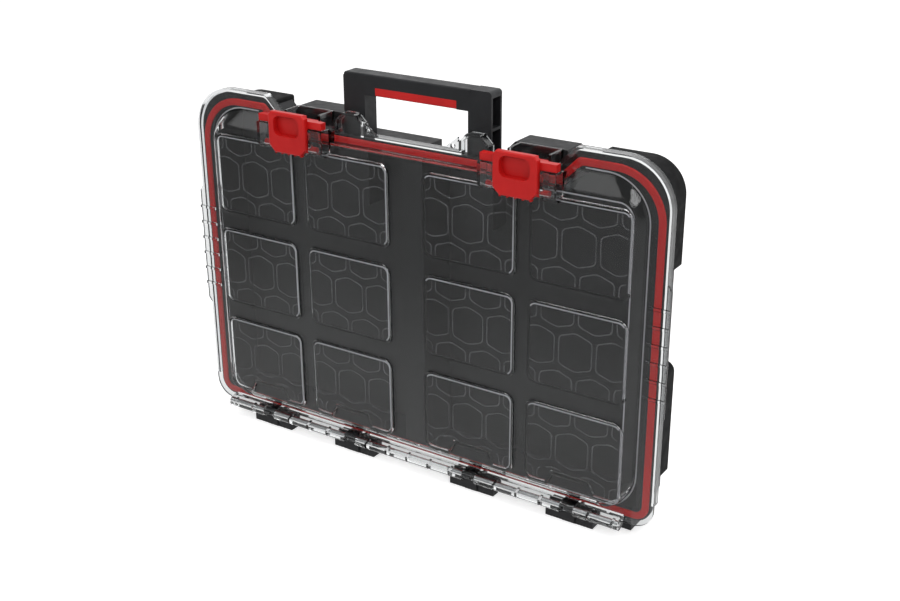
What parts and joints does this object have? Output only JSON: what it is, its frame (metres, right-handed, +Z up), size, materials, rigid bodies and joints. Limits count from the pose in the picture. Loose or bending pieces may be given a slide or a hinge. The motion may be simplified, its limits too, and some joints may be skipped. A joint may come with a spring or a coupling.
{
  "type": "small parts organizer box",
  "caption": "Flat carrying box for small parts with a clear hinged lid, red snap latches, a red seal and a pull-out handle.",
  "frame": {"origin": "on the floor under the middle of the whole box as it stands on its hinge side", "axes": "+X along the width, -Y out of the clear lid towards the viewer, +Z up towards the handle"},
  "size_m": [0.467, 0.068, 0.3466],
  "materials": {
    "black_plastic": "fine grain",
    "clear_plastic": "clear gloss",
    "red_plastic": "satin",
    "red_seal": "matte",
    "black_rubber": "matte",
    "steel": "drawn"
  },
  "bodies": {
    "base": {"base_shell": "black_plastic", "centre_divider": "black_plastic", "seal": "red_seal", "hinge_bracket_1": "black_plastic", "hinge_bracket_2": "black_plastic", "hinge_bracket_3": "black_plastic", "hinge_bracket_4": "black_plastic", "hinge_rod_left": "steel", "hinge_rod_right": "steel", "corner_foot_left": "black_plastic", "corner_foot_right": "black_plastic", "handle_guide_left": "black_plastic", "handle_guide_right": "black_plastic", "corner_bumper_upper_left": "black_rubber", "corner_bumper_upper_right": "black_rubber", "corner_bumper_lower_left": "black_rubber", "corner_bumper_lower_right": "black_rubber", "top_lug_left": "black_plastic", "top_lug_right": "black_plastic"},
    "lid": {"lid": "clear_plastic"},
    "latch_left": {"latch_left": "red_plastic"},
    "latch_right": {"latch_right": "red_plastic"},
    "handle": {"handle_frame": "black_plastic", "handle_cover": "black_plastic", "handle_grip": "red_plastic"}
  },
  "joints": [
    {"name": "lid_hinge", "type": "hinge", "parent": "base", "child": "lid", "pos_m": [0, -0.02, 0.0145], "axis": [1, 0, 0], "range_deg": [0, 90]},
    {"name": "latch_left_pivot", "type": "hinge", "parent": "lid", "child": "latch_left", "pos_m": [-0.11, -0.027, 0.283], "axis": [1, 0, 0], "range_deg": [0, 45]},
    {"name": "latch_right_pivot", "type": "hinge", "parent": "lid", "child": "latch_right", "pos_m": [0.11, -0.027, 0.283], "axis": [1, 0, 0], "range_deg": [0, 45]},
    {"name": "handle_slide", "type": "slide", "parent": "base", "child": "handle", "axis": [0, 0, 1], "range_m": [-0.026, 0]}
  ]
}
